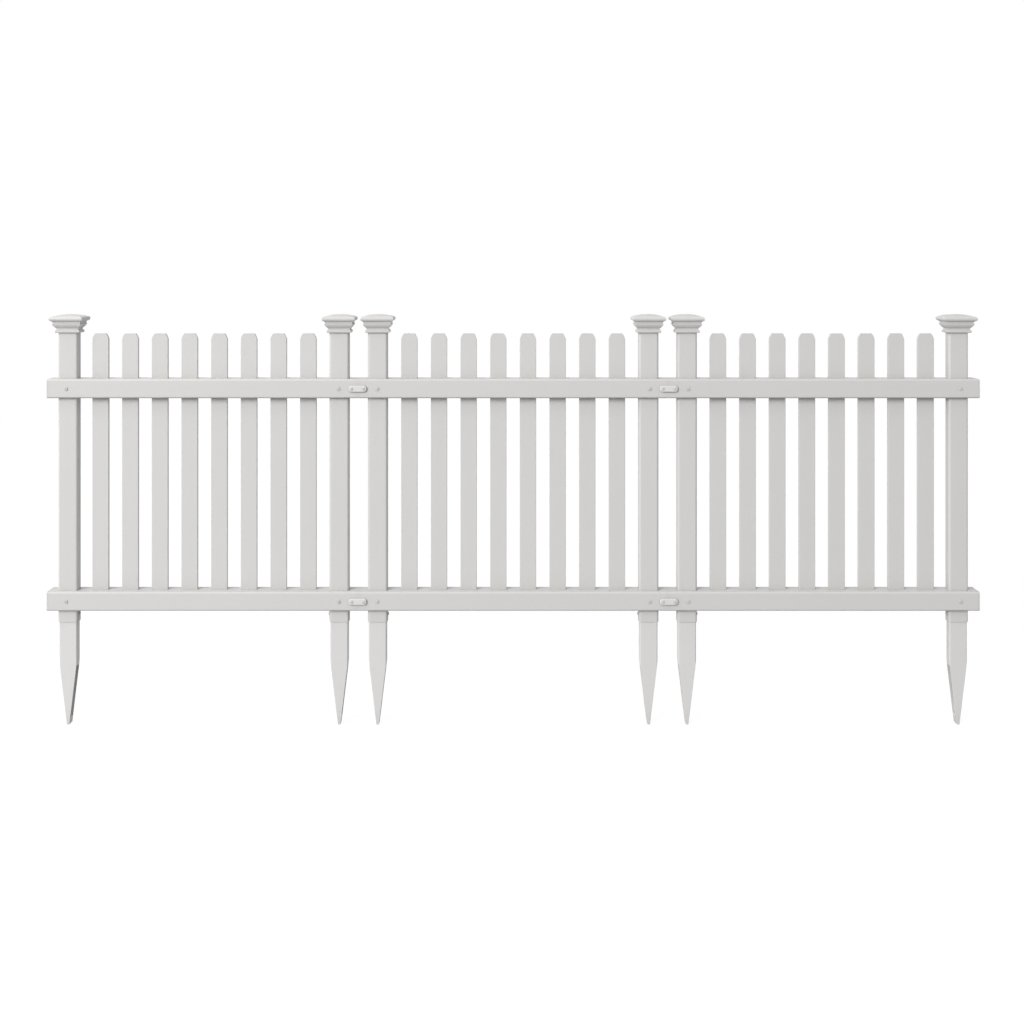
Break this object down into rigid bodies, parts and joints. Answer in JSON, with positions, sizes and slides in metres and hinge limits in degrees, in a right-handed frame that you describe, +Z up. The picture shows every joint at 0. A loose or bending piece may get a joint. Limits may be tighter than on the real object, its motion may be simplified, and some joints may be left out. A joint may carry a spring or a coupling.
{
  "type": "picket fence run",
  "caption": "Straight run of joined picket fence panels with capped, staked posts, slotted box rails, clipped flat pickets and oblong link plates.",
  "frame": {"origin": "ground level on the axis of the first post, in the flat foot of its wall", "axes": "+X along the fence to the right, +Y from front to back, +Z up"},
  "size_m": [2.7432, 0.068, 1.212],
  "materials": {
    "post_plastic": "satin white vinyl",
    "cap_plastic": "satin white vinyl",
    "stake_plastic": "smooth moulded white plastic",
    "picket_plastic": "satin white vinyl",
    "rail_plastic": "satin white vinyl",
    "end_plug_plastic": "satin white vinyl",
    "link_plate_plastic": "smooth moulded white plastic",
    "screw_paint": "white-painted steel screw heads"
  },
  "bodies": {
    "root": {"left_panel_left_post": "post_plastic", "left_panel_left_post_cap": "cap_plastic", "left_panel_left_ground_stake": "stake_plastic", "left_panel_right_post": "post_plastic", "left_panel_right_post_cap": "cap_plastic", "left_panel_right_ground_stake": "stake_plastic", "left_panel_pickets": "picket_plastic", "left_panel_bottom_rail": "rail_plastic", "left_panel_bottom_rail_left_end_plug": "end_plug_plastic", "left_panel_bottom_rail_right_end_plug": "end_plug_plastic", "left_panel_top_rail": "rail_plastic", "left_panel_top_rail_left_end_plug": "end_plug_plastic", "left_panel_top_rail_right_end_plug": "end_plug_plastic", "middle_panel_left_post": "post_plastic", "middle_panel_left_post_cap": "cap_plastic", "middle_panel_left_ground_stake": "stake_plastic", "middle_panel_right_post": "post_plastic", "middle_panel_right_post_cap": "cap_plastic", "middle_panel_right_ground_stake": "stake_plastic", "middle_panel_pickets": "picket_plastic", "middle_panel_bottom_rail": "rail_plastic", "middle_panel_bottom_rail_left_end_plug": "end_plug_plastic", "middle_panel_bottom_rail_right_end_plug": "end_plug_plastic", "middle_panel_top_rail": "rail_plastic", "middle_panel_top_rail_left_end_plug": "end_plug_plastic", "middle_panel_top_rail_right_end_plug": "end_plug_plastic", "right_panel_left_post": "post_plastic", "right_panel_left_post_cap": "cap_plastic", "right_panel_left_ground_stake": "stake_plastic", "right_panel_right_post": "post_plastic", "right_panel_right_post_cap": "cap_plastic", "right_panel_right_ground_stake": "stake_plastic", "right_panel_pickets": "picket_plastic", "right_panel_bottom_rail": "rail_plastic", "right_panel_bottom_rail_left_end_plug": "end_plug_plastic", "right_panel_bottom_rail_right_end_plug": "end_plug_plastic", "right_panel_top_rail": "rail_plastic", "right_panel_top_rail_left_end_plug": "end_plug_plastic", "right_panel_top_rail_right_end_plug": "end_plug_plastic", "left_joint_bottom_link_plate": "link_plate_plastic", "left_joint_top_link_plate": "link_plate_plastic", "right_joint_bottom_link_plate": "link_plate_plastic", "right_joint_top_link_plate": "link_plate_plastic"}
  },
  "joints": []
}
